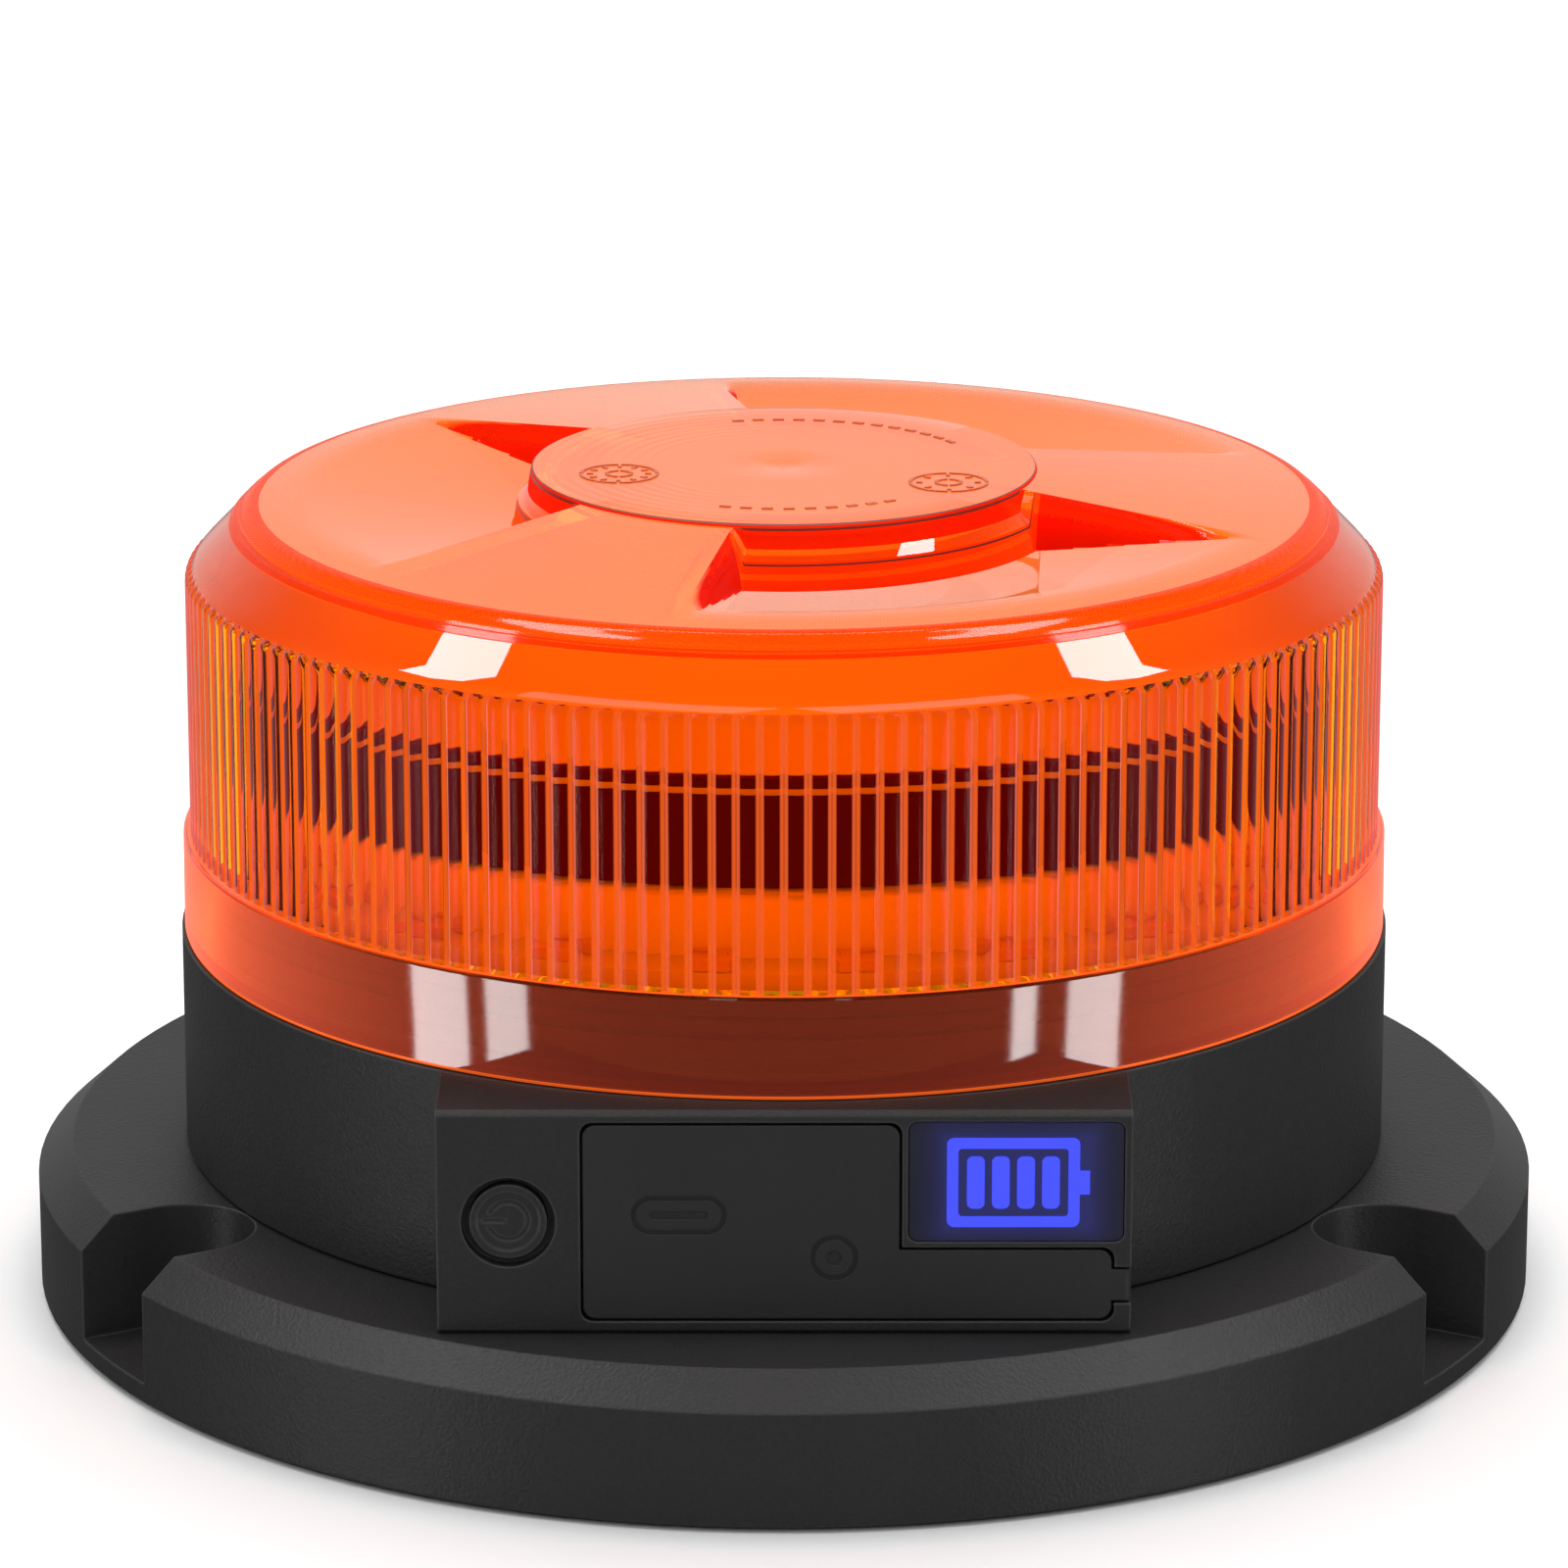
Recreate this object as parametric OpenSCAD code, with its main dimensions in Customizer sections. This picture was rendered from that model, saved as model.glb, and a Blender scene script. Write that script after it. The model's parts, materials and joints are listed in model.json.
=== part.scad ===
/* [Base] */
// Outer diameter of the flange
base_d = 130; // [126:1:136]
// Height of the flange above the surface it stands on
base_h = 12.8; // [12:0.1:14]
// Size of the 45 degree bevel round the flange
base_bevel = 2.7; // [1.5:0.1:3]
// Number of open screw slots in the flange
slot_count = 3; // [3:1:3]
// Width of each screw slot
slot_w = 12; // [10:0.5:13]
// Diameter of the circle through the screw holes
slot_pcd = 116; // [115:0.5:117]
// Diameter of each fixing screw hole
slot_hole_d = 5.5; // [4:0.1:6]
// Thickness of the floor left under each slot
slot_floor = 1.9; // [1.5:0.1:3]

/* [Body] */
// Outer diameter of the body
body_d = 104.2; // [103.8:0.1:105]
// Height of the top of the body, where the lens rests
body_top = 31.7; // [31.4:0.1:32.4]
// Wall thickness of the body
body_wall = 2.5; // [2:0.1:2.8]

/* [Control panel] */
// Width of the control panel
panel_w = 55.6; // [55:0.1:57]
// Distance of the panel's face in front of the centre
panel_y = 54.2; // [53.8:0.1:55]
// Diameter of the power button's cap
button_d = 6.2; // [5.6:0.1:6.6]
// Travel of the power button
button_travel = 0.5; // [0.2:0.1:0.6]

/* [Lens] */
// Overall height of the beacon
total_h = 71.5; // [71:0.1:73]
// Height where the flutes begin
flute_from = 40.3; // [40:0.1:42]
// Height where the flutes end
flute_to = 63.6; // [62.5:0.1:63.8]
// Number of vertical flutes
flutes = 168; // [120:2:180]
// Thickness of the lens wall
lens_wall = 2.2; // [1.8:0.1:2.3]
// Diameter of the round disc in the middle of the crown
disc_d = 43.2; // [40:0.1:45]
// Depth of the three sloping pockets at the disc
pocket_depth = 5.2; // [3:0.1:5.4]

/* [Light engine] */
// Number of LEDs round the board
led_count = 24; // [12:2:36]
// Outer diameter of the black baffle drum
drum_d = 95.2; // [94:0.1:96]
// Height of the top of the baffle drum
drum_top = 56; // [54:0.1:58]

/* [Hidden] */

$fn = 96;
eps = 0.5;              // overshoot of a cut past the face it opens
fit = 0.1;              // gap between pieces that are pushed together
run_fit = 0.05;         // radial gap of a sliding round piece

// base
base_r = base_d / 2;
base_z = 0.3;                                // the rubber pad stands this far proud
bevel_z = base_h - base_bevel;
bevel_r = base_r - base_bevel - 0.3;
deck_t = 2;
deck_z = base_h - deck_t;
pad_r = 53;
pad_t = 1.8;
cavity_r = 49.5;
core_in = 54.6;
core_out = base_r - 2.4;
core_roof = base_h - 3.2;
core_count = 5;
core_rib = 2;
slot_side = 9;                               // degrees kept solid beside each slot
slot_top = slot_floor + base_z;
step = 360 / slot_count;

// screws: radius, head radius, head height, length under the head
magnet_screw = [1.8, 3.8, 2.4, 4.8];
body_screw = [1.45, 2.9, 2, 10];
panel_screw = [1.05, 2.1, 1.4, 6.6];
board_screw = [1.05, 2.1, 1.4, 4];
drum_screw = [1.15, 2.4, 1.6, 5.5];
pilot = 0.05;                                // how much wider a screw's pilot hole is

// magnets
magnet_pcd = 62;
magnet_boss_r = 6;
magnet_bore = 4.6;
cup_d = 31;
cup_h = 6.5;
cup_wall = 2;
cup_z = pad_t + fit;
magnet_d = cup_d - 2 * cup_wall - 0.6;
magnet_h = cup_h - cup_wall - 0.3;
magnet_hole = 4.5;
cup_top = cup_z + cup_h;

// body
body_r = body_d / 2;
body_in = body_r - body_wall;
spigot_r = 49.5;
spigot_in = 46.6;
spigot_top = 39.8;
roof_t = 2.2;
roof_z = spigot_top - roof_t;
snap_z = 33.4;
ring_z = 37.2;                               // height of the lens seal
ring_r = 0.85;
lens_in = spigot_r + 0.15;
boss_r = 3.3;
boss_at = 44.5;
boss_top = 24;
rib_up = 2.2;                                // the rib behind each boss starts above the lip
screw_r = 1.5;
lip_r = body_in - 0.15;
lip_t = 1.45;
lip_h = 1.5;
lip_gap = 72;
seal_in = body_r - 1.8;                      // groove of the seal under the body
seal_out = body_r - 0.8;

// panel
wall_t = 3;
panel_in = panel_y - wall_t;
panel_half = panel_w / 2;
panel_top = body_top - 0.05;
panel_bevel = 0.4;
side_t = 2;
flap_t = 1.6;
flap_gap = 0.25;
recess_t = flap_t + fit;
flap_x0 = -16.05;
flap_x1 = 9.2;
flap_z0 = 14.15;
flap_z1 = 30.45;
arm_x1 = 26.2;
arm_z1 = 19.95;
tab_z0 = 15.7;
tab_z1 = 18.3;
usb_x = -8.4;
usb_z = 22.9;
usb_w = 9;
usb_h = 3.3;
jack_x = 4;
jack_z = 19.3;
jack_w = 8.6;
jack_bore = 6.3;
jack_pin_d = 2.1;
port_depth = 1.1;
port_clear = 0.3;
hinge_r = 0.6;                               // radius of the bead the flap turns on
hinge_x = panel_half - hinge_r;
hinge_y = -panel_y + hinge_r;
root_x = 25.6;                               // the peg that holds the flap's root
root_w = 1.8;
root_h = 1.9;
root_z = 17;
window_x0 = 10;
window_x1 = 27.1;
window_z0 = 20.75;
window_z1 = 30.7;
window_t = 1.4;
icon_x0 = 13;
icon_x1 = 23.6;
icon_z0 = 21.9;
icon_z1 = 29.4;
icon_line = 0.9;
icon_bars = 4;
bar_w = 1.4;
bar_h = 4.4;
bar_pitch = 2;
icon_gap = 0.03;
icon_t = 0.6;
button_x = -22.05;
button_z = 22.3;
button_r = button_d / 2;
button_well = button_r + 0.68;
well_t = 1.2;
collar_r = button_r + 0.55;                  // collar that keeps the button in the panel
board_t = 1.6;
board_y = 41.6;                              // front face of the panel board
switch_h = 3.6;
plunger_r = 1.6;
plunger_y = board_y + switch_h + 0.5 + button_travel;
stud = [-16.2, 14.5];                        // places of the panel board's two screws
stud_z = 16.8;
stud_r = 2.4;

// battery and driver board
cell_d = 18.4;
cell_l = 65;
cell_y = [3.5, 22.7];
tray_t = 2;
cell_z = base_h + fit + tray_t + cell_d / 2 + 0.2;
tray_half = 35;
tray_y0 = -6.8;
tray_y1 = 32.8;
driver = [56, 27];
driver_y = -22.5;
driver_z = base_h + 3.2;
post_x = 25;
post_y = 11;
post_r = 2.6;
tray_wall = 1.6;
tray_wall_h = 14;
clip_w = 8;
clip_t = 1.2;
clip_h = 10;
tab_w = 6;
tab_t = 0.3;
coil_r = 5;
coil_h = 6;
can_r = 4;
can_h = 11;
wire_r = 0.6;
header_y = driver_y + 6.7;
lead_x = [-13.2, -11];

// lens
lens_z = body_top + 0.05;
lip_lens_r = 51.85;
band_r = 51.8;
flute_valley = 50.75;
flute_crest = 51.3;
fillet_r = 2.4;                              // round between the wall and the shoulder
rim_r = 45;
rim_z = total_h - 2.7;
rim_fillet = 1.3;
shoulder = 44;                               // angle of the shoulder's normal above level
disc_r = disc_d / 2;
crown_z = total_h - 0.25;
pocket_half = 39.85;
pocket_mid = 28.4;
pocket_in = disc_r + 1.7;
pocket_rise = 0.158;
pocket_wall = 2;
bead = 0.4;

// light engine
led_board_r = 48.6;
led_board_in = 26;
led_board_z = spigot_top + fit;
led_board_top = led_board_z + board_t;
led_size = 3.5;
led_t = 0.9;
led_at = 46.6;
optic_z = led_board_top + 0.05;
drum_r = drum_d / 2;
drum_z = 48.4;                               // underside of the drum, over the reflector
drum_wall = 1.6;
mirror_in = 42.8;
mirror_foot = 44.5;                          // radius of the reflector beside the LEDs
foot_t = 1.9;
foot_in = 31;
cap_edge = 0.5;
cap_t = 1.45;
drum_screw_at = 36;

// the direction at an angle measured from the front towards the right
function heading(az) = az - 90;
function arc(cx, cz, r, a0, a1, n = 8) =
    [for (i = [0:n]) let (a = a0 + (a1 - a0) * i / n) [cx + r * cos(a), cz + r * sin(a)]];

// repeats its children round the axis, the first one at the given heading
module around(count, az = 0) {
    for (i = [0:count - 1]) rotate([0, 0, heading(az) + i * 360 / count]) children();
}

module ring(r_out, r_in, z0, z1) {
    translate([0, 0, z0]) difference() {
        cylinder(r = r_out, h = z1 - z0);
        translate([0, 0, -eps]) cylinder(r = r_in, h = z1 - z0 + 2 * eps);
    }
}

// a flat shape drawn in X and Z, given a thickness from y0 (front) to y1 (back)
module upright(y0, y1) {
    translate([0, y1, 0]) rotate([90, 0, 0]) linear_extrude(y1 - y0) children();
}

// a round bar along Y
module bar_y(x, z, r, y0, y1) {
    translate([x, y1, z]) rotate([90, 0, 0]) cylinder(r = r, h = y1 - y0);
}

module rounded(x0, z0, x1, z1, r) {
    translate([x0 + r, z0]) square([x1 - x0 - 2 * r, z1 - z0]);
    translate([x0, z0 + r]) square([x1 - x0, z1 - z0 - 2 * r]);
    for (x = [x0 + r, x1 - r]) for (z = [z0 + r, z1 - r]) translate([x, z]) circle(r, $fn = 32);
}

module stadium(x, z, w, h) {
    translate([x - (w - h) / 2, z - h / 2]) square([w - h, h]);
    for (s = [-1, 1]) translate([x + s * (w - h) / 2, z]) circle(h / 2, $fn = 32);
}

// a screw standing on its head, with the head's top at z = 0
module screw(size) {
    difference() {
        union() {
            cylinder(r = size[1], h = size[2]);
            cylinder(r = size[0], h = size[2] + size[3]);
        }
        translate([0, 0, -eps]) cylinder(r = size[1] * 0.45, h = size[2] * 0.6 + eps, $fn = 6);
    }
}

// straight lengths of wire from point to point, with rounded corners
module wire(path, r = wire_r) {
    for (i = [0:len(path) - 2]) let (d = path[i + 1] - path[i], l = norm(d))
        translate(path[i]) rotate([0, acos(d[2] / l), atan2(d[1], d[0])]) cylinder(r = r, h = l, $fn = 16);
    for (i = [1:len(path) - 2]) translate(path[i]) sphere(r + 0.04, $fn = 16);
}

// ---- base ----

module slot_cut(grow = 0) {
    translate([slot_pcd / 2, 0, 0]) cylinder(r = slot_w / 2 + grow, h = base_h);
    translate([slot_pcd / 2, -slot_w / 2 - grow, 0]) cube([base_r, slot_w + 2 * grow, base_h]);
}

module base_flange() {
    color("#26272a") difference() {
        union() {
            rotate_extrude() polygon([
                [0, deck_z], [cavity_r, deck_z], [cavity_r, pad_t], [pad_r + 0.2, pad_t],
                [pad_r + 0.2, base_z], [base_r - 0.3, base_z], [base_r, base_z + 0.3], [base_r, bevel_z],
                [bevel_r, base_h], [0, base_h]
            ]);
            ring_lip();
            around(slot_count) translate([magnet_pcd / 2, 0, cup_top])
                cylinder(r = magnet_boss_r, h = deck_z - cup_top + eps);
            for (x = [-post_x, post_x]) for (y = [-post_y, post_y])
                translate([x, driver_y + y, deck_z]) cylinder(r = post_r, h = driver_z - deck_z);
        }
        around(slot_count, step / 2) {
            translate([0, 0, slot_top]) slot_cut();
            translate([slot_pcd / 2, 0, -eps]) cylinder(r = slot_hole_d / 2, h = slot_top + 2 * eps);
        }
        for (k = [0:slot_count - 1]) for (i = [0:core_count - 1]) core(k, i);
        around(slot_count, step / 2) translate([boss_at, 0, deck_z - eps])
            cylinder(r = screw_r + 0.2, h = deck_t + 2 * eps);
        around(slot_count) translate([magnet_pcd / 2, 0, cup_top - eps])
            cylinder(r = magnet_screw[0] + 2 * pilot, h = magnet_screw[3] - cup_wall + 0.8);
        for (x = [-post_x, post_x]) for (y = [-post_y, post_y])
            translate([x, driver_y + y, deck_z + 0.8]) cylinder(r = board_screw[0] + pilot, h = driver_z);
    }
}

// the low lip that centres the body on the deck, open behind the panel
module ring_lip() {
    difference() {
        ring(lip_r, lip_r - lip_t, base_h - eps, base_h + lip_h);
        translate([-lip_gap / 2, -base_r, 0]) cube([lip_gap, base_r - 28, base_h + 2 * lip_h]);
    }
}

// a hollow under the flange, between two ribs
module core(k, i) {
    span = (step - 2 * slot_side + core_rib) / core_count;
    rotate([0, 0, heading(step / 2) + k * step + slot_side + i * span])
        rotate_extrude(angle = span - core_rib)
            translate([core_in, 0]) square([core_out - core_in, core_roof]);
}

module base_pad() {
    color("#1a1a1b") difference() {
        cylinder(r = pad_r, h = pad_t);
        for (r = [14:8:46]) ring(r + 1, r - 1, -eps, 0.5);
    }
}

module magnet_cups() {
    color("#b9bcc0") around(slot_count) translate([magnet_pcd / 2, 0, cup_z]) difference() {
        cylinder(d = cup_d, h = cup_h);
        translate([0, 0, -eps]) cylinder(d = cup_d - 2 * cup_wall, h = cup_h - cup_wall + eps);
        cylinder(d = magnet_hole, h = cup_h + eps);
    }
}

module magnets() {
    color("#8d9094") around(slot_count) translate([magnet_pcd / 2, 0, cup_z]) difference() {
        cylinder(d = magnet_d, h = magnet_h);
        translate([0, 0, -eps]) cylinder(r = magnet_bore, h = magnet_h + 2 * eps);
    }
}

module magnet_screws() {
    color("#c9cbce") around(slot_count)
        translate([magnet_pcd / 2, 0, cup_top - cup_wall - magnet_screw[2]]) screw(magnet_screw);
}

module base_seal() {
    color("#3a3a3a") ring(seal_out - 0.05, seal_in + 0.05, base_h + 0.02, base_h + 0.78);
}

// ---- body ----

module body_housing() {
    color("#2b2c2f") difference() {
        union() {
            rotate_extrude() polygon([
                [body_in, base_h], [body_r - 0.3, base_h], [body_r, base_h + 0.3], [body_r, body_top],
                [spigot_r, body_top], [spigot_r, spigot_top], [0, spigot_top], [0, roof_z],
                [spigot_in, roof_z], [spigot_in, body_top - 1], [body_in, body_top - 3]
            ]);
            panel_shell();
            around(slot_count, step / 2) {
                translate([boss_at, 0, base_h]) cylinder(r = boss_r, h = boss_top - base_h);
                translate([boss_at, -1, base_h + rib_up])
                    cube([body_r - boss_at - 1, 2, boss_top - base_h - rib_up]);
            }
        }
        difference() {
            panel_cavity();
            for (x = stud) bar_y(x, stud_z, stud_r, -panel_y, -board_y);
        }
        ring(seal_out, seal_in, base_h - eps, base_h + 0.8);
        ring(spigot_r + eps, spigot_r - 0.5, snap_z, snap_z + 1.4);
        ring(spigot_r + eps, spigot_r - 1.6, ring_z - 1, ring_z + 1);
        around(slot_count, step / 2) translate([boss_at, 0, base_h - eps]) cylinder(r = screw_r, h = 9);
        around(slot_count) translate([drum_screw_at, 0, roof_z - eps])
            cylinder(r = drum_screw[0] + pilot, h = roof_t + 2 * eps);
        translate([(lead_x[0] + lead_x[1]) / 2, header_y, roof_z - eps])
            cylinder(r = 3, h = roof_t + 2 * eps);
        for (x = stud) bar_y(x, stud_z, panel_screw[0] + pilot, -panel_in - 1.2, -board_y + eps);
        panel_openings();
    }
}

// the flat-faced block on the front of the body
module panel_shell() {
    translate([-panel_half, 0, 0]) rotate([90, 0, 90]) linear_extrude(panel_w) polygon([
        [-panel_y + panel_bevel, base_h], [-panel_y, base_h + panel_bevel],
        [-panel_y, panel_top - panel_bevel], [-panel_y + panel_bevel, panel_top],
        [-40, panel_top], [-40, base_h]
    ]);
}

module panel_cavity() {
    roof = panel_top - 1.6;
    translate([-panel_half + side_t, -panel_in, base_h - eps])
        cube([panel_w - 2 * side_t, panel_in - 38, roof - base_h + eps]);
}

// the flap's outline, grown by g all round
module flap_outline(g) {
    rounded(flap_x0 - g, flap_z0 - g, flap_x1 + g, flap_z1 + g, 1);
    rounded(flap_x1 - 6, flap_z0 - g, arm_x1 + g, arm_z1 + g, 1);
}

module panel_openings() {
    upright(-panel_y - eps, -panel_y + recess_t) {
        flap_outline(flap_gap);
        translate([arm_x1, tab_z0 - flap_gap])
            square([panel_half - arm_x1 + eps, tab_z1 - tab_z0 + 2 * flap_gap]);
    }
    upright(-panel_y, -panel_in + eps) {
        stadium(usb_x, usb_z, usb_w + 4 * port_clear, usb_h + 4 * port_clear);
        translate([jack_x, jack_z]) circle(jack_w / 2 + port_clear);
        translate([root_x - root_w / 2 - fit, root_z - root_h / 2 - fit])
            square([root_w + 2 * fit, root_h + 2 * fit]);
    }
    upright(-panel_y - eps, -panel_y + window_t + fit)
        rounded(window_x0 - fit, window_z0 - fit, window_x1 + fit, window_z1 + fit, 0.8);
    upright(-panel_y, -panel_in + eps)
        rounded(window_x0 + 1.5, window_z0 + 0.8, window_x1 - 2, window_z1 - 1, 0.5);
    bar_y(button_x, button_z, button_well, -panel_y - eps, -panel_y + well_t);
    bar_y(button_x, button_z, button_r + run_fit, -panel_y, -panel_in + eps);
    bar_y(button_x, button_z, button_r + 0.9, -panel_y + 1.7, -panel_y + 2.5);
}

module body_screws() {
    color("#c9cbce") around(slot_count, step / 2) translate([boss_at, 0, deck_z - 2])
        screw(body_screw);
}

module power_button() {
    y0 = -panel_y + 0.25;
    color("#2f3033") difference() {
        union() {
            bar_y(button_x, button_z, button_r, y0, -panel_in + 0.1);
            bar_y(button_x, button_z, collar_r, -panel_in + 0.05, -panel_in + 0.9);
            bar_y(button_x, button_z, 1.4, -panel_in, -plunger_y);
        }
        bar_y(button_x, button_z, button_r - 0.6, y0 - eps, y0 + 0.2);
        power_mark(y0 + 0.2);
    }
}

// a broken ring with a bar through the gap, cut into the cap's face
module power_mark(y) {
    upright(y - 0.1, y + 0.15) translate([button_x, button_z]) {
        difference() {
            circle(1.75, $fn = 48);
            circle(1.4, $fn = 48);
            translate([-2, -0.55]) square([1.4, 1.1]);
        }
        translate([-2.1, -0.18]) square([1.9, 0.36]);
    }
}

module button_seal() {
    color("#3a3a3a") difference() {
        bar_y(button_x, button_z, button_r + 0.85, -panel_y + 1.75, -panel_y + 2.45);
        bar_y(button_x, button_z, button_r + run_fit, -panel_y + 1, -panel_y + 3);
    }
}

module port_flap() {
    back = -panel_y + flap_t;
    color("#303134") difference() {
        union() {
            upright(-panel_y, back) flap_outline(0);
            translate([0, 0, tab_z0]) linear_extrude(tab_z1 - tab_z0) {
                translate([arm_x1 - 1, -panel_y]) square([hinge_x - arm_x1 + 1, 2 * hinge_r]);
                translate([hinge_x, hinge_y]) circle(hinge_r, $fn = 48);
            }
            upright(back - 0.3, back + port_depth)
                stadium(usb_x, usb_z, usb_w + 2 * port_clear, usb_h + 2 * port_clear);
            bar_y(jack_x, jack_z, jack_w / 2, back - 0.3, back + port_depth);
        }
        port_marks();
    }
}

// a slim rounded bar over the USB socket and two rings over the round socket
module port_marks() {
    upright(-panel_y - eps, -panel_y + 0.2) {
        difference() {
            stadium(usb_x, usb_z, 7.6, 3.2);
            stadium(usb_x, usb_z, 6.9, 2.5);
        }
        stadium(usb_x, usb_z, 4.6, 0.6);
        translate([jack_x, jack_z]) {
            difference() {
                circle(1.9, $fn = 48);
                circle(1.55, $fn = 48);
            }
            circle(0.6, $fn = 32);
        }
    }
}

// the flap's fixed end: a pad behind its bead, and a barbed peg through the panel
module flap_root() {
    x1 = root_x + root_w / 2;
    seat = hinge_y + hinge_r + 0.05;
    floor_y = -panel_y + recess_t;
    color("#303134") union() {
        upright(seat, floor_y - 0.05) translate([x1 - 0.15, tab_z0 + 0.05])
            square([panel_half - x1 + fit, tab_z1 - tab_z0 - fit]);
        upright(seat, floor_y + 0.1) translate([x1 - 0.15, root_z - root_h / 2]) square([0.15, root_h]);
        upright(floor_y + 0.05, -panel_in + 0.3) translate([root_x - root_w / 2, root_z - root_h / 2])
            square([root_w, root_h]);
        upright(-panel_in + 0.05, -panel_in + 1) translate([root_x - root_w + 0.2, root_z - 1.5])
            square([root_w - 0.1, 3]);
    }
}

module indicator_window() {
    front = -panel_y + 0.05;
    color("#1d1d22") difference() {
        upright(front, -panel_y + window_t) rounded(window_x0, window_z0, window_x1, window_z1, 0.7);
        upright(front - eps, front + icon_t + icon_gap) icon_outline(icon_gap);
    }
}

// a battery symbol: frame, end nub and charge bars, grown by g
module icon_outline(g) {
    inset = icon_line + g;
    difference() {
        rounded(icon_x0 - g, icon_z0 - g, icon_x1 + g, icon_z1 + g, 0.6);
        rounded(icon_x0 + inset, icon_z0 + inset, icon_x1 - inset, icon_z1 - inset, 0.3);
    }
    translate([icon_x1 - 0.3, (icon_z0 + icon_z1) / 2 - 1 - g]) square([1.1 + g, 2 + 2 * g]);
    for (i = [0:icon_bars - 1]) {
        cx = (icon_x0 + icon_x1) / 2 + (i - (icon_bars - 1) / 2) * bar_pitch;
        cz = (icon_z0 + icon_z1) / 2;
        rounded(cx - bar_w / 2 - g, cz - bar_h / 2 - g, cx + bar_w / 2 + g, cz + bar_h / 2 + g, 0.5);
    }
}

module charge_icon() {
    front = -panel_y + 0.05;
    color("#4a55ff") upright(front, front + icon_t) icon_outline(0);
}

module light_pipe() {
    color("#e8ecff") upright(-panel_y + window_t + 0.15, -board_y - 1.2)
        rounded(window_x0 + 2, window_z0 + 1.2, window_x1 - 3, window_z1 - 1.4, 0.5);
}

module indicator_leds() {
    mid = (icon_x0 + icon_x1) / 2;
    pitch = 1.2 * bar_pitch;
    color("#dfe6ff") for (i = [0:icon_bars - 1])
        translate([mid + (i - (icon_bars - 1) / 2) * pitch - 0.8, -board_y - 0.85, 24.6]) cube([1.6, 0.8, 3]);
}

// ---- boards, sockets and battery ----

module panel_board() {
    color("#1f6b3a") difference() {
        translate([-25.6, -board_y, base_h + 0.9]) cube([51.2, board_t, panel_top - base_h - 2.7]);
        for (x = stud) bar_y(x, stud_z, 1.3, -board_y - eps, -board_y + board_t + eps);
    }
}

module panel_screws() {
    color("#c9cbce") for (x = stud)
        translate([x, -board_y + board_t + panel_screw[2], stud_z]) rotate([90, 0, 0]) screw(panel_screw);
}

module usb_c_port() {
    color("#c4c7cb") upright(-panel_in - 0.2, -board_y - 0.05) difference() {
        stadium(usb_x, usb_z, usb_w, usb_h);
        stadium(usb_x, usb_z, usb_w - 0.6, usb_h - 0.6);
    }
}

module usb_c_tongue() {
    color("#2a2a2a") union() {
        upright(-board_y - 2, -board_y - 0.05) stadium(usb_x, usb_z, usb_w - 0.7, usb_h - 0.7);
        upright(-panel_in + 0.9, -board_y - 1.5) translate([usb_x - 3.3, usb_z - 0.35]) square([6.6, 0.7]);
    }
}

module dc_jack() {
    color("#202022") difference() {
        bar_y(jack_x, jack_z, jack_w / 2 - 0.05, -panel_in - 0.2, -board_y - 0.05);
        bar_y(jack_x, jack_z, jack_bore / 2, -panel_in - 1, -board_y - 1.5);
    }
}

module dc_pin() {
    color("#c9a44a") bar_y(jack_x, jack_z, jack_pin_d / 2, -panel_in + 0.6, -board_y - 1.5);
}

module switch_body() {
    color("#17181a") difference() {
        translate([button_x - 3, -board_y - switch_h, button_z - 3]) cube([6, switch_h - 0.05, 6]);
        bar_y(button_x, button_z, plunger_r + run_fit, -board_y - switch_h - eps, -board_y - 1);
    }
}

module switch_plunger() {
    color("#d8d8d8") bar_y(button_x, button_z, plunger_r, -plunger_y, -plunger_y + 2.6);
}

module battery_tray() {
    z0 = base_h + fit;
    color("#3b3d42") difference() {
        union() {
            translate([-tray_half, tray_y0, z0]) cube([2 * tray_half, tray_y1 - tray_y0, tray_t]);
            for (x = [-tray_half, tray_half - tray_wall])
                translate([x, tray_y0, z0]) cube([tray_wall, tray_y1 - tray_y0, tray_wall_h]);
            for (x = [-24, 16]) for (y = [tray_y0, tray_y1 - clip_t])
                translate([x, y, z0]) cube([clip_w, clip_t, clip_h]);
            translate([-30, (cell_y[0] + cell_y[1]) / 2 - 0.3, z0]) cube([60, 0.6, 6]);
        }
        for (y = cell_y) translate([-cell_l / 2 - 0.4, y, cell_z]) rotate([0, 90, 0])
            cylinder(d = cell_d + 0.2, h = cell_l + 0.8);
    }
}

module battery_cells() {
    color("#3f7fb5") for (y = cell_y) translate([-cell_l / 2 + 0.6, y, cell_z]) rotate([0, 90, 0]) {
        cylinder(d = cell_d, h = cell_l - 1.4);
        translate([0, 0, -0.2]) cylinder(d = cell_d - 3, h = cell_l - 0.8);
    }
}

module battery_tabs() {
    reach = 4;
    color("#c8c9c4") for (x = [-cell_l / 2 + 0.05, cell_l / 2 - tab_t - 0.05])
        translate([x, cell_y[0] - reach, cell_z - tab_w / 2])
            cube([tab_t, cell_y[1] - cell_y[0] + 2 * reach, tab_w]);
}

module driver_board() {
    color("#1f6b3a") difference() {
        translate([-driver[0] / 2, driver_y - driver[1] / 2, driver_z + 0.02])
            cube([driver[0], driver[1], board_t]);
        for (x = [-post_x, post_x]) for (y = [-post_y, post_y])
            translate([x, driver_y + y, driver_z - eps]) cylinder(r = 1.3, h = board_t + 2 * eps);
    }
}

module board_screws() {
    top = driver_z + board_t + 0.05;
    color("#c9cbce") for (x = [-post_x, post_x]) for (y = [-post_y, post_y])
        translate([x, driver_y + y, top + board_screw[2]]) rotate([180, 0, 0]) screw(board_screw);
}

module on_board(x, y) {
    translate([x, driver_y + y, driver_z + board_t + 0.05]) children();
}

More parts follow.
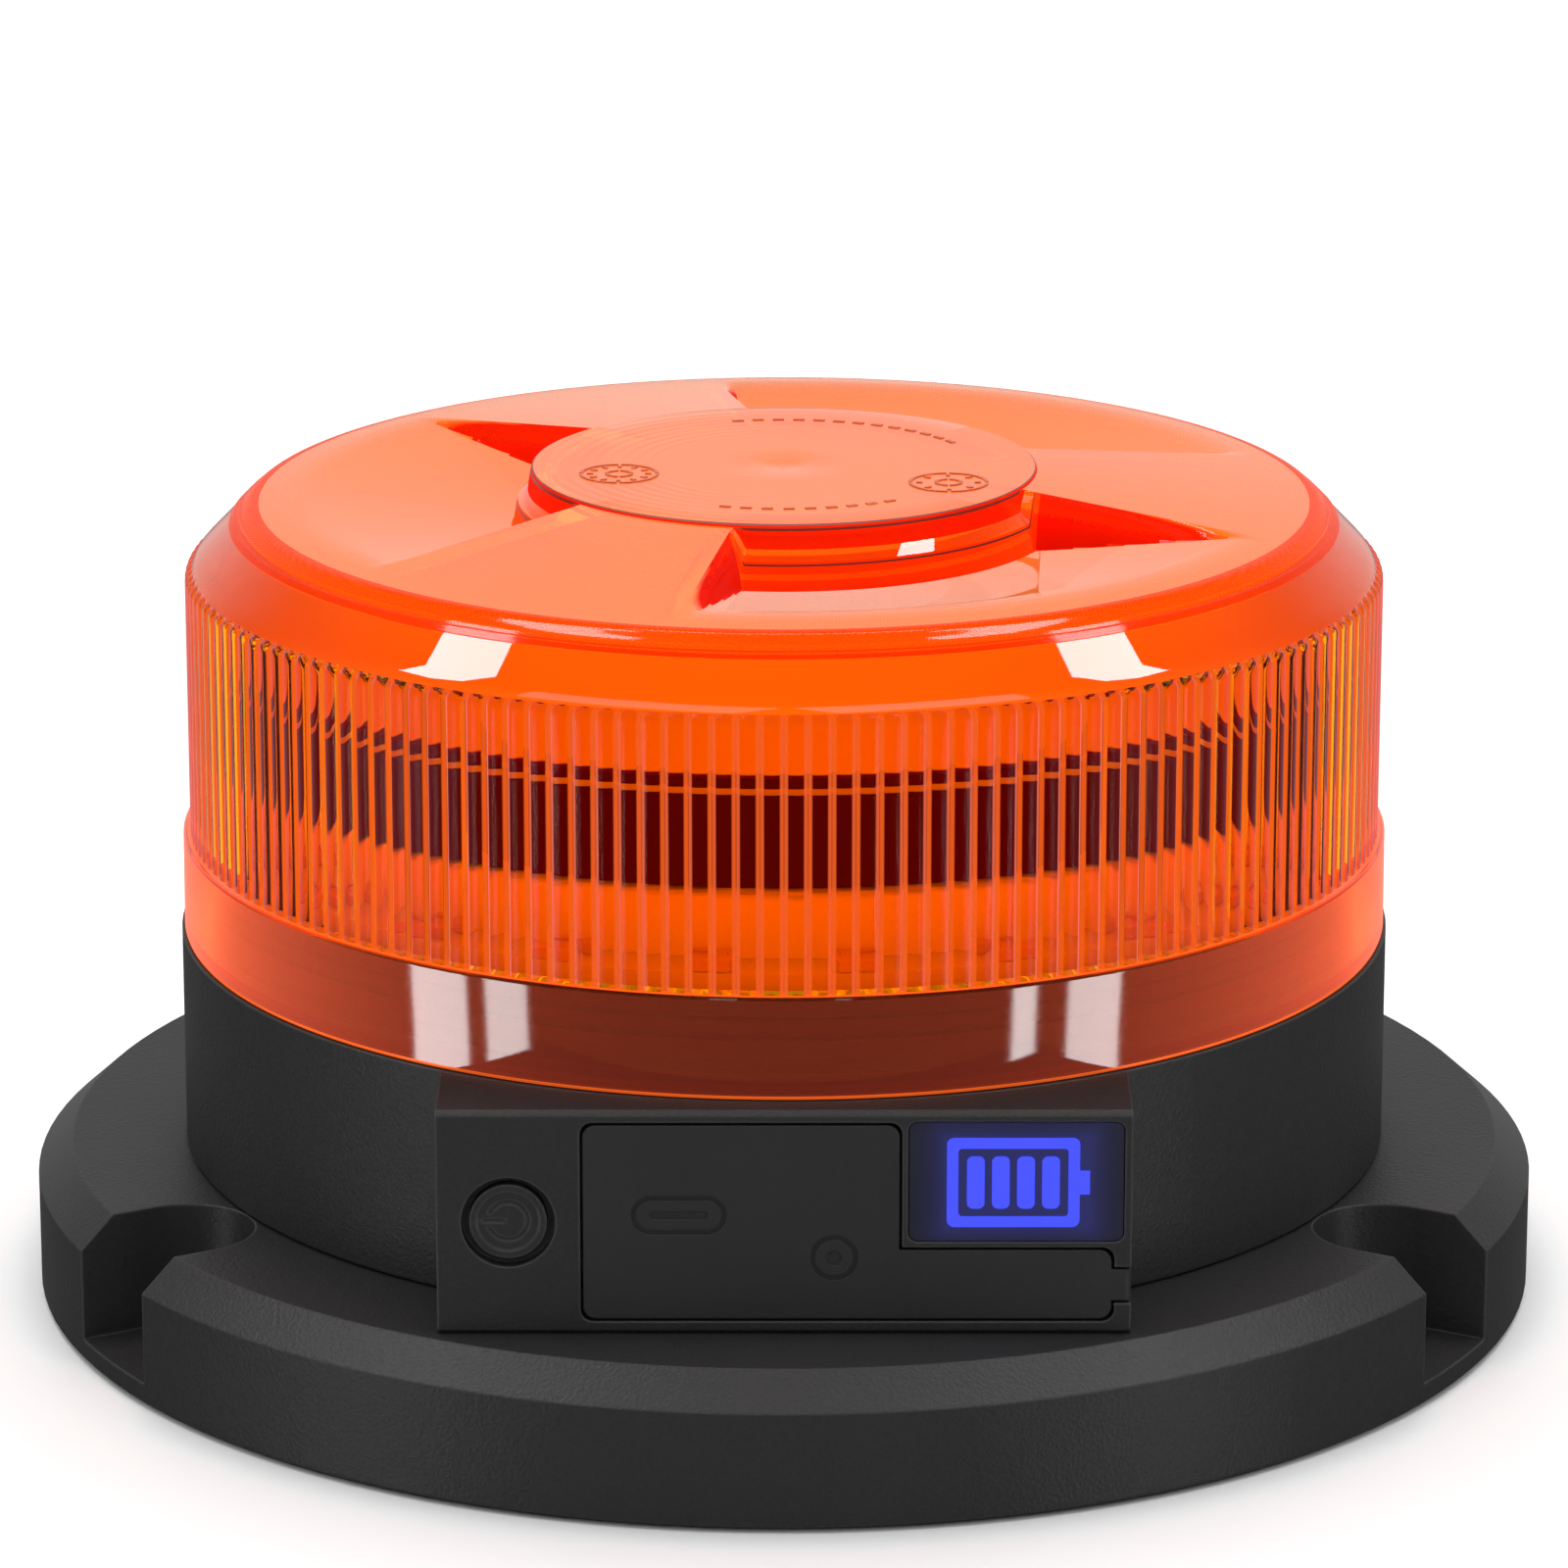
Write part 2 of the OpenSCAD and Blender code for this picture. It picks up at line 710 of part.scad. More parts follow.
module power_inductor() {
    color("#4a4a48") on_board(8, 4) {
        cylinder(r = coil_r, h = 1);
        cylinder(r = coil_r - 1.4, h = coil_h);
        translate([0, 0, coil_h - 1]) cylinder(r = coil_r, h = 1);
    }
}

module capacitors() {
    color("#2c3c6b") for (x = [-8, 19]) on_board(x, -5) cylinder(r = can_r, h = can_h);
}

module control_chips() {
    color("#161618") {
        on_board(-20, -6) cube([5, 6.2, 1.6]);
        on_board(2, -9) cube([6, 6, 1.2]);
        on_board(-4, 5) cube([3, 3, 1]);
    }
}

module wire_header() {
    color("#e9e6da") difference() {
        on_board(-19.5, 4.2) cube([11, 5, 6]);
        on_board(-18.7, 5) cube([9.4, 3.4, 7]);
    }
}

module battery_leads() {
    z0 = driver_z + board_t + 6.6;
    color("#b3261e") for (s = [0, 1]) wire([
        [-18 + s * 2.4, header_y, z0 - 5.4], [-18 + s * 2.4, header_y, z0 + 3 + s * 2],
        [-40 - s * 1.6, -8 + s * 2, z0 + 3 + s * 2], [-40 - s * 1.6, 9 + s * 2, cell_z + 1],
        [-35.7, 9 + s * 2, cell_z + 1]
    ]);
}

module led_leads() {
    y1 = -led_board_in + 0.2;
    z0 = driver_z + board_t + 1.2;
    z1 = led_board_top + 3;
    color("#d8d8d8") for (x = lead_x)
        wire([[x, header_y, z0], [x, header_y, z1], [x, y1, z1], [x, y1, led_board_top + 0.05]]);
}

// ---- light engine ----

module led_board() {
    color("#eeeeea") difference() {
        ring(led_board_r, led_board_in, led_board_z, led_board_top);
        around(slot_count) translate([drum_screw_at, 0, led_board_z - eps])
            cylinder(r = 1.5, h = board_t + 2 * eps);
    }
}

module leds() {
    color("#f4d27a") around(led_count, 180 / led_count)
        translate([led_at - led_size / 2, -led_size / 2, optic_z]) difference() {
            cube([led_size, led_size, led_t]);
            translate([led_size / 2, led_size / 2, led_t - 0.2]) cylinder(r = 1.3, h = 1, $fn = 24);
        }
}

// a ring whose concave outer face turns the LEDs' light outwards
module reflector_ring() {
    reach = drum_r + 0.2 - mirror_foot;
    rise = drum_z - 0.3 - optic_z;
    color("#f3f3f0") rotate_extrude() polygon(concat(
        [[mirror_in, drum_z - 0.05], [mirror_in, optic_z]],
        [for (t = [0:8:80]) [mirror_foot + reach * (1 - cos(t)), optic_z + rise * sin(t)]],
        [[drum_r - 0.1, drum_z - 0.15], [drum_r - 0.1, drum_z - 0.05]]
    ));
}

module baffle_drum() {
    inner = mirror_in - 0.1;
    color("#141416") difference() {
        rotate_extrude() polygon([
            [foot_in, optic_z], [inner, optic_z], [inner, drum_z], [drum_r, drum_z], [drum_r, drum_top],
            [drum_r - drum_wall, drum_top], [drum_r - drum_wall, drum_z + drum_wall],
            [inner - drum_wall, drum_z + drum_wall], [inner - drum_wall, optic_z + foot_t],
            [foot_in, optic_z + foot_t]
        ]);
        around(slot_count) translate([drum_screw_at, 0, optic_z - eps])
            cylinder(r = 1.5, h = foot_t + 2 * eps);
    }
}

module drum_cap() {
    lip = drum_r - drum_wall - fit;
    edge = drum_r - 0.2;
    seat = drum_r - 1.1;
    z0 = drum_top + 0.05;
    color("#f0f0ec") rotate_extrude() polygon([
        [0, z0], [lip - 1.3, z0], [lip - 1.3, z0 - 1.5], [lip, z0 - 1.5], [lip, z0], [edge, z0],
        [edge, z0 + cap_edge], [seat, z0 + cap_edge], [seat, z0 + cap_t], [0, z0 + cap_t]
    ]);
}

module cap_ring() {
    z0 = drum_top + 0.1 + cap_edge;
    color("#141416") ring(drum_r - 0.1, drum_r - 1, z0, z0 + 0.85);
}

module drum_screws() {
    top = optic_z + foot_t + 0.05;
    color("#c9cbce") around(slot_count) translate([drum_screw_at, 0, top + drum_screw[2]])
        rotate([180, 0, 0]) screw(drum_screw);
}

// ---- lens ----

module lens_seal() {
    color("#3a3a3a") rotate_extrude() translate([lens_in - ring_r, ring_z]) circle(ring_r, $fn = 32);
}

// a sector cut in the crown: its floor climbs outwards from the disc
module pocket(r_in, z_in, half, top) {
    reach = rim_r + 1 - r_in;
    around(slot_count, pocket_mid) rotate([0, 0, -half]) rotate_extrude(angle = 2 * half) polygon([
        [r_in, z_in], [r_in + reach, z_in + reach * pocket_rise], [r_in + reach, top], [r_in - 1.5, top]
    ]);
}

module lens_outside() {
    rotate_extrude() polygon(concat(
        [[0, lens_z], [lip_lens_r - 0.25, lens_z], [lip_lens_r, lens_z + 0.25], [band_r, flute_from],
            [flute_valley, flute_from]],
        arc(flute_valley - fillet_r, flute_to - fillet_r / 2, fillet_r, 0, shoulder),
        arc(rim_r, rim_z - rim_fillet, rim_fillet, shoulder, 84),
        [[disc_r + 0.15, crown_z - 0.1], [disc_r, total_h], [0, total_h]]
    ));
    // the flutes: pointed ribs with their roots inside the wall
    translate([0, 0, flute_from - 0.01]) linear_extrude(flute_to - flute_from) difference() {
        polygon([
            for (i = [0:2 * flutes - 1])
                let (a = 180 * i / flutes, r = i % 2 == 0 ? flute_crest : flute_valley + 0.05)
                    [r * cos(a), r * sin(a)]
        ]);
        circle(flute_valley - 0.6);
    }
}

module lens_inside() {
    in_r = band_r - lens_wall - 0.6;
    difference() {
        rotate_extrude() polygon(concat(
            [
                [0, lens_z - eps], [lens_in, lens_z - eps], [lens_in, snap_z + 0.3],
                [lens_in - bead, snap_z + 0.6], [lens_in - bead, snap_z + 0.8], [lens_in, snap_z + 1.1],
                [lens_in, spigot_top + 0.1], [in_r, spigot_top + 0.6]
            ],
            arc(in_r - 0.65, flute_to - fillet_r / 2, 0.65, 0, shoulder, 5),
            [
                [rim_r + 0.2, rim_z - lens_wall], [disc_r, crown_z - lens_wall],
                [0, total_h - lens_wall - 0.1]
            ]
        ));
        pocket(pocket_in - pocket_wall, total_h - pocket_depth - pocket_wall, pocket_half + 4, total_h + 1);
    }
}

module lens_dome() {
    color("#ff5a10", 0.6) difference() {
        lens_outside();
        pocket(pocket_in, total_h - pocket_depth, pocket_half, total_h + 1);
        lens_inside();
    }
}

base_pad();
base_flange();
magnet_cups();
magnets();
magnet_screws();
base_seal();
body_housing();
body_screws();
battery_tray();
battery_cells();
battery_tabs();
driver_board();
board_screws();
power_inductor();
capacitors();
control_chips();
wire_header();
battery_leads();
led_leads();
panel_board();
panel_screws();
usb_c_port();
usb_c_tongue();
dc_jack();
dc_pin();
switch_body();
switch_plunger();
power_button();
button_seal();
port_flap();
flap_root();
indicator_window();
charge_icon();
light_pipe();
indicator_leds();
lens_seal();
led_board();
leds();
reflector_ring();
baffle_drum();
drum_cap();
cap_ring();
drum_screws();
lens_dome();
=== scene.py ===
"""Amber warning beacon: the looks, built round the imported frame. Lengths are in metres."""

import json
import math

import bpy
import numpy as np
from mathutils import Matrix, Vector


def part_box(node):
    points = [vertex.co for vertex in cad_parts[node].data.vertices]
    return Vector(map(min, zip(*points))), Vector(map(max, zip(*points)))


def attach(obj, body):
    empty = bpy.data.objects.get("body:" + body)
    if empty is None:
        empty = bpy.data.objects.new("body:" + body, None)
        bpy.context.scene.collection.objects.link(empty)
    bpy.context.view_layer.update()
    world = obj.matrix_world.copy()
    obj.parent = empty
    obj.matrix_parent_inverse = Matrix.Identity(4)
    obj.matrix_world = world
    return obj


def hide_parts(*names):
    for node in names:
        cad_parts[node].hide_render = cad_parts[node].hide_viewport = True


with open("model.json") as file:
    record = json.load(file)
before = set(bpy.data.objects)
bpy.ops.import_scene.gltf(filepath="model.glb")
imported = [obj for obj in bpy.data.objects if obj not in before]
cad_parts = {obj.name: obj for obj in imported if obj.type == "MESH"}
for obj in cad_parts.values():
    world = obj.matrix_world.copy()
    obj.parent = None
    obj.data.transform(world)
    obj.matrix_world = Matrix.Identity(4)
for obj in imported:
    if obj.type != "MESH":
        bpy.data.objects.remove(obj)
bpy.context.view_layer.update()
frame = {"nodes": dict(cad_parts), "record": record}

MM = 0.001

# ---- places, from the frame ----
LENS_LO, LENS_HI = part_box("lens_dome")
ICON_LO, ICON_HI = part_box("charge_icon")
BASE_LO, BASE_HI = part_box("base_flange")
BASE_WIDTH = BASE_HI[0] - BASE_LO[0]
LENS_TOP = LENS_HI[2]
LIP_R = (LENS_HI[0] - LENS_LO[0]) / 2
# the arms of the crown: everything past DISC_RING that is above this cone
DISC_RING = LIP_R * 0.415
ARM_SLOPE = 0.105
ARM_Z = LENS_TOP - 0.5 * MM


# ---- node helpers ----
class Tree:
    """A node tree with short calls for what this script needs."""

    def __init__(self, owner, output):
        owner.use_nodes = True
        self.owner, self.tree = owner, owner.node_tree
        self.tree.nodes.clear()
        self.out = self.add(output)

    def add(self, kind, inputs=None, **settings):
        node = self.tree.nodes.new("ShaderNode" + kind)
        for key, value in settings.items():
            setattr(node, key, value)
        for key, value in (inputs or {}).items():
            self.feed(node.inputs[key], value)
        return node

    def feed(self, socket, value):
        if isinstance(value, bpy.types.Node):
            value = value.outputs[0]
        if isinstance(value, bpy.types.NodeSocket):
            self.tree.links.new(value, socket)
        else:
            socket.default_value = value

    def math(self, operation, a, b=0.0):
        return self.add("Math", {0: a, 1: b}, operation=operation).outputs[0]

    def times(self, a, b):
        return self.math("MULTIPLY", a, b)

    def plus(self, a, b):
        return self.math("ADD", a, b)

    def less(self, a, b):
        return self.math("SUBTRACT", a, b)

    def place(self):
        return self.add("TexCoord").outputs["Object"]

    def xyz(self, vector):
        return self.add("SeparateXYZ", {0: vector}).outputs

    def noise(self, size, detail=3.0, rough=0.55):
        """Noise with features about size metres across, from 0 to 1."""
        inputs = {"Vector": self.place(), "Scale": 1 / size, "Detail": detail, "Roughness": rough}
        return self.add("TexNoise", inputs).outputs["Fac"]

    def span(self, value, low, high):
        """value from 0..1 stretched to low..high."""
        return self.add("MapRange", {"Value": value, "To Min": low, "To Max": high}).outputs[0]

    def ramp(self, value, start, end, first=0.0, last=1.0, kind="SMOOTHSTEP"):
        """first where value is start, going over to last where it is end."""
        inputs = {"Value": value, "From Min": start, "From Max": end, "To Min": first, "To Max": last}
        return self.add("MapRange", inputs, interpolation_type=kind).outputs[0]

    def shade(self, colour, amount, by):
        """colour, from darker to lighter by the share amount, as the value by goes from 0 to 1."""
        dark = [c * (1 - amount) for c in colour] + [1]
        light = [min(1, c * (1 + amount)) for c in colour] + [1]
        return self.blend(by, dark, light)

    def blend(self, share, first, second):
        """One colour at share 0 going over to another at 1."""
        mix = self.add("Mix", data_type="RGBA", clamp_factor=True)
        self.feed(mix.inputs[0], share)
        self.feed(mix.inputs[6], first)
        self.feed(mix.inputs[7], second)
        return mix.outputs[2]

    def bump(self, height, distance, strength=1.0, normal=None):
        inputs = {"Height": height, "Distance": distance, "Strength": strength}
        if normal is not None:
            inputs["Normal"] = normal
        return self.add("Bump", inputs).outputs[0]

    def glow(self, shader, colour, strength):
        """shader with light of its own added."""
        light = self.add("Emission", {"Color": colour, "Strength": strength})
        return self.add("AddShader", {0: shader, 1: light})

    def principled(self, **inputs):
        names = {key: key.replace("_", " ").title() for key in inputs}
        names.update(ior="IOR", specular_ior_level="Specular IOR Level")
        return self.add("BsdfPrincipled", {names[k]: v for k, v in inputs.items()})

    def finish(self, shader):
        self.feed(self.out.inputs[0], shader)
        return self.owner


def material(name):
    return Tree(bpy.data.materials.new(name), "OutputMaterial")


def grainy(name, colour, rough, grain, depth, vary=0.12, metallic=0.0, edge=0.0, drift=12 * MM, coat=0.0,
           level=0.5):
    """A moulded or plated finish: fine grain in the surface, slow drift in colour and roughness.
    edge is the radius that its edges are shaded with."""
    n = material(name)
    slow, fine = n.noise(drift, 4), n.noise(grain, 2)
    normal = n.add("Bevel", {"Radius": edge}, samples=4).outputs[0] if edge else None
    tone = n.plus(n.times(slow, 0.6), n.times(fine, 0.4))
    shader = n.principled(
        base_color=n.shade(colour, vary, tone),
        roughness=n.span(slow, rough - 0.06, rough + 0.06),
        metallic=metallic,
        specular_ior_level=level,
        normal=n.bump(fine, depth, 0.8, normal),
        coat_weight=coat,
    )
    return n.finish(shader)


def black_shell():
    """Spark-eroded black ABS: fine dull grain, edges painted a little paler as a painted highlight of their
    rounding.
    """
    n = material("black_shell")
    fine, slow = n.noise(0.35 * MM, 2, 0.6), n.noise(18 * MM, 4)
    bevel = n.add("Bevel", {"Radius": 0.35 * MM}, samples=6).outputs[0]
    flat = n.add("NewGeometry").outputs["Normal"]
    facing = n.add("VectorMath", {0: bevel, 1: flat}, operation="DOT_PRODUCT").outputs["Value"]
    # painted highlight: the edges' colour goes over to grey, on top of the bevel normal that rounds them for
    # the lamps
    painted_edge_highlight = n.math("MINIMUM", n.times(n.less(1.0, facing), 2.2), 0.7)
    tone = n.plus(n.times(fine, 0.7), n.times(slow, 0.3))
    shader = n.principled(
        base_color=n.blend(painted_edge_highlight, n.shade((0.026, 0.026, 0.0265), 0.3, tone), (0.10, 0.10, 0.10, 1)),
        roughness=n.span(slow, 0.44, 0.52),
        specular_ior_level=0.30,
        normal=n.bump(fine, 0.09 * MM, 0.8, bevel),
    )
    return n.finish(shader)


# ---- amber plastic: what passes through it (tints), and the painted light that it gives off by itself ----
AMBER = (1.0, 0.20, 0.006)
# painted light: the colour of the glow that the amber gives off by itself
GLOW = (1.0, 0.10, 0.010)
# painted light: the orange stripe that each flute's valley shows, standing in for light bent through its
# steep flanks
STRIPE = (0.92, 0.115, 0.012, 1)
# painted reflection: the pale veil where the flutes are seen at a low angle
PAINTED_SHEEN = (0.28, 0.28, 0.34, 1)
# painted light: the glow where the lens is seen straight on
CORE = (1.0, 0.30, 0.0, 1)
SIDE_TINT = (0.55, 0.03, 0.003, 1)
# painted shade: the deeper red tint and glow of the steep faces of the crown and its pockets
DEEP_TINT = (0.75, 0.03, 0.003)
DEEP_SHINE = (0.9, 0.01, 0.002)
FLUTES = 168
# across half a flute, from 0 on its crown to 1 in the valley: where the painted stripe and the thin painted
# dark line in it begin
STRIPE_FROM, STRIPE_FULL = 0.60, 0.74
LINE_FROM, LINE_FULL = 0.93, 0.99
DULL = 0.06
KNURL_STEP, KNURL_DEPTH = 0.55 * MM, 0.02 * MM
RING_STEP, RING_DEPTH, RING_FROM = 1.15 * MM, 0.012 * MM, 11 * MM


def length(n, a, b):
    return n.math("SQRT", n.plus(n.times(a, a), n.times(b, b)))


def waves(n, value, step):
    return n.math("SINE", n.times(value, 2 * math.pi / step))


def knurl(n, x, y, z):
    """Fine crossed bars on the inner face of the three arms."""
    r = length(n, x, y)
    on_arms = n.math("GREATER_THAN", n.plus(z, n.times(r, ARM_SLOPE)), ARM_Z)
    bars = n.plus(waves(n, n.plus(x, y), KNURL_STEP), waves(n, n.less(x, y), KNURL_STEP))
    return n.bump(n.times(n.times(bars, n.math("GREATER_THAN", r, DISC_RING)), on_arms), KNURL_DEPTH)


def turned_rings(n, x, y, z):
    """Faint turning rings on the disc, fading out towards its right half."""
    r = length(n, x, y)
    left = n.ramp(x, 2 * MM, -12 * MM, kind="LINEAR")
    on_disc = n.math("GREATER_THAN", z, LENS_TOP - 0.02 * MM)
    share = n.times(left, n.times(on_disc, n.math("GREATER_THAN", r, RING_FROM)))
    return n.bump(n.times(waves(n, r, RING_STEP), share), RING_DEPTH)


def valley_share(n, x, y):
    """Where the painted stripe of light goes: 0 on the crown of each flute, 1 in the valleys, with a thin
    line of 0.5 at their bottom, which is painted shade.
    """
    turn = n.times(n.math("ARCTAN2", y, x), FLUTES / (2 * math.pi))
    across = n.math("ABSOLUTE", n.less(n.times(n.math("FRACT", turn), 2.0), 1.0))
    line = n.ramp(across, LINE_FROM, LINE_FULL, last=0.5, kind="LINEAR")
    return n.less(n.ramp(across, STRIPE_FROM, STRIPE_FULL), line)


def seen_by_ray(n, shader):
    """Lamps and soft light pass tinted, and a mirrored ray from outside passes as if through air."""
    path = n.add("LightPath")
    lamp = n.math("MAXIMUM", path.outputs["Is Shadow Ray"], path.outputs["Is Diffuse Ray"])
    tinted = n.add("BsdfTransparent", {"Color": [c ** 0.5 for c in AMBER] + [1]})
    plain = n.add("BsdfTransparent", {"Color": (0.95, 0.95, 0.95, 1)})
    outside = n.math("LESS_THAN", path.outputs["Transmission Depth"], 0.5)
    mirrored = n.times(path.outputs["Is Glossy Ray"], outside)
    return n.add("MixShader", {0: mirrored, 1: n.add("MixShader", {0: lamp, 1: shader, 2: tinted}), 2: plain})


def amber(name, rough, glow, grazing_glow, tint=AMBER, shine=GLOW, gloss=1.0, core=0.0, base=0.0, kind=""):
    """Clear amber polycarbonate with painted light of its own added, in the colour shine: base all over,
    grazing_glow where it is seen at a low angle, glow where it lies flat, and core where it is seen straight
    on.
    gloss is the share of its mirror image that is kept, and kind is what one part of the lens has besides."""
    n = material(name)
    slow, fine = n.noise(9 * MM, 3), n.noise(1.1 * MM, 2)
    place = n.xyz(n.place())[:3]
    geometry = n.add("NewGeometry")
    upright = n.math("ABSOLUTE", n.xyz(geometry.outputs["Normal"])[2])
    turned = n.add("LayerWeight", {"Blend": 0.5}).outputs["Facing"]
    facing = n.math("POWER", turned, 1.6)
    colour, light = n.shade(tint, 0.05, slow), [*shine, 1]
    if kind == "crown":
        # painted shade: steep faces take the deeper red, and keep little of their mirror image
        steep = n.ramp(upright, 0.93, 0.72, kind="LINEAR")
        colour, light = n.blend(steep, colour, [*DEEP_TINT, 1]), n.blend(steep, light, [*DEEP_SHINE, 1])
        gloss = n.span(steep, 1.0, DULL)
    if kind == "flutes":
        colour = n.blend(facing, colour, SIDE_TINT)
    inputs = {"base_color": colour, "roughness": n.span(fine, rough, rough * 1.2 + 0.01), "ior": 1.5}
    if kind == "knurl":
        inputs["normal"] = knurl(n, *place)
    if kind == "crown":
        inputs["normal"] = turned_rings(n, *place)
    bright = n.principled(transmission_weight=1.0, **inputs)
    if kind == "crown" or gloss < 1:
        # light inside the plastic still needs its mirror, or steep edges turn black
        inside = n.times(geometry.outputs["Backfacing"], facing)
        inside = n.math("GREATER_THAN", inside, 0.15 if kind == "inner" else 0.0)
        bend = {"Color": colour, "Roughness": inputs["roughness"], "IOR": inputs["ior"]}
        bend = n.add("BsdfRefraction", bend)
        bright = n.add("MixShader", {0: n.math("MAXIMUM", gloss, inside), 1: bend, 2: bright})
    # painted light: how strongly the plastic glows, all over, at low angles and where it lies flat
    own = n.plus(n.plus(n.times(facing, grazing_glow), base), n.times(n.math("POWER", upright, 1.5), glow))
    bright = n.glow(bright, light, own)
    # painted light: a glow where the plastic is seen straight on
    if core:
        bright = n.glow(bright, CORE, n.times(n.math("POWER", n.less(1.0, turned), 3.0), core))
    if kind == "flutes":
        # painted light: an orange stripe of its own in each valley, in place of the light that the steep
        # flanks bend in
        stripe = n.add("Emission", {"Color": STRIPE, "Strength": n.span(slow, 0.9, 1.05)})
        share = n.times(valley_share(n, *place[:2]), n.less(0.88, n.times(facing, 0.4)))
        bright = n.add("MixShader", {0: share, 1: bright, 2: stripe})
        # painted reflection: a pale veil towards the flutes' silhouettes, for their mirror image of the white
        # room
        bright = n.glow(bright, PAINTED_SHEEN, n.times(n.math("POWER", facing, 2.0), 0.8))
    return n.finish(seen_by_ray(n, bright))


def solid_amber(name, colour, glow, rough):
    """Amber where it is too thin or too angled to see through: opaque, with painted light of its own."""
    n = material(name)
    slow = n.noise(6 * MM, 3)
    shader = n.principled(
        base_color=n.shade(colour, 0.08, slow),
        roughness=n.span(slow, rough - 0.05, rough + 0.05),
        emission_color=[*colour, 1],
        emission_strength=glow,
    )
    return n.finish(shader)


def lit_icon():
    """Frosted plastic with blue light behind it."""
    n = material("blue_icon")
    soft = n.noise(3 * MM, 2)
    shader = n.principled(
        base_color=(0.02, 0.03, 0.30, 1),
        roughness=n.span(soft, 0.25, 0.35),
        emission_color=n.shade((0.045, 0.065, 1.0), 0.06, soft),
        emission_strength=0.95,
    )
    return n.finish(shader)


ICON_HALO = 1.3 * MM


def smoked_window():
    """Smoked plastic that glows faintly blue round the lit symbol."""
    n = material("smoked_window")
    place = n.xyz(n.place())
    out = []
    for axis in (0, 2):
        mid, half = (ICON_LO[axis] + ICON_HI[axis]) / 2, (ICON_HI[axis] - ICON_LO[axis]) / 2
        out.append(n.math("MAXIMUM", n.less(n.math("ABSOLUTE", n.less(place[axis], mid)), half), 0.0))
    glow = n.math("EXPONENT", n.times(length(n, *out), -1 / ICON_HALO))
    shader = n.principled(
        base_color=n.shade((0.018, 0.018, 0.020), 0.15, n.noise(4 * MM)),
        roughness=n.span(n.noise(6 * MM), 0.30, 0.38),
        emission_color=(0.10, 0.11, 0.9, 1),
        emission_strength=n.times(glow, 0.12),
    )
    return n.finish(shader)


def milky(name, colour, rough, glow=None, level=0.5):
    """Smooth plastic or solder mask, a little uneven; glow is light of its own."""
    n = material(name)
    slow, fine = n.noise(7 * MM, 3), n.noise(0.5 * MM, 2)
    inputs = dict(
        base_color=n.shade(colour, 0.04, slow),
        roughness=n.span(slow, rough - 0.05, rough + 0.05),
        normal=n.bump(fine, 0.02 * MM, 0.4),
        specular_ior_level=level,
    )
    if glow:
        inputs.update(emission_color=glow, emission_strength=1.0)
    return n.finish(n.principled(**inputs))


def shaded_reflector():
    """White reflector with painted shade in streaks towards the drum above it, and a painted amber glow
    below.
    """
    n = material("white_reflector")
    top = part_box("reflector_ring")[1][2]
    streak = n.noise(1.4 * MM, 2)
    level = n.plus(n.xyz(n.place())[2], n.times(n.less(streak, 0.5), 1.6 * MM))
    # painted shade: near-black close under the drum, and painted amber light where the shade has faded out
    out_of_shade = n.ramp(level, top + 0.4 * MM, top - 1.7 * MM)
    white = n.shade((0.90, 0.89, 0.86), 0.04, n.noise(7 * MM, 3))
    return n.finish(n.principled(
        base_color=n.blend(out_of_shade, (0.05, 0.05, 0.05, 1), white),
        roughness=n.span(streak, 0.3, 0.42),
        emission_color=(0.9, 0.18, 0.004, 1),
        emission_strength=n.times(out_of_shade, 0.22),
    ))


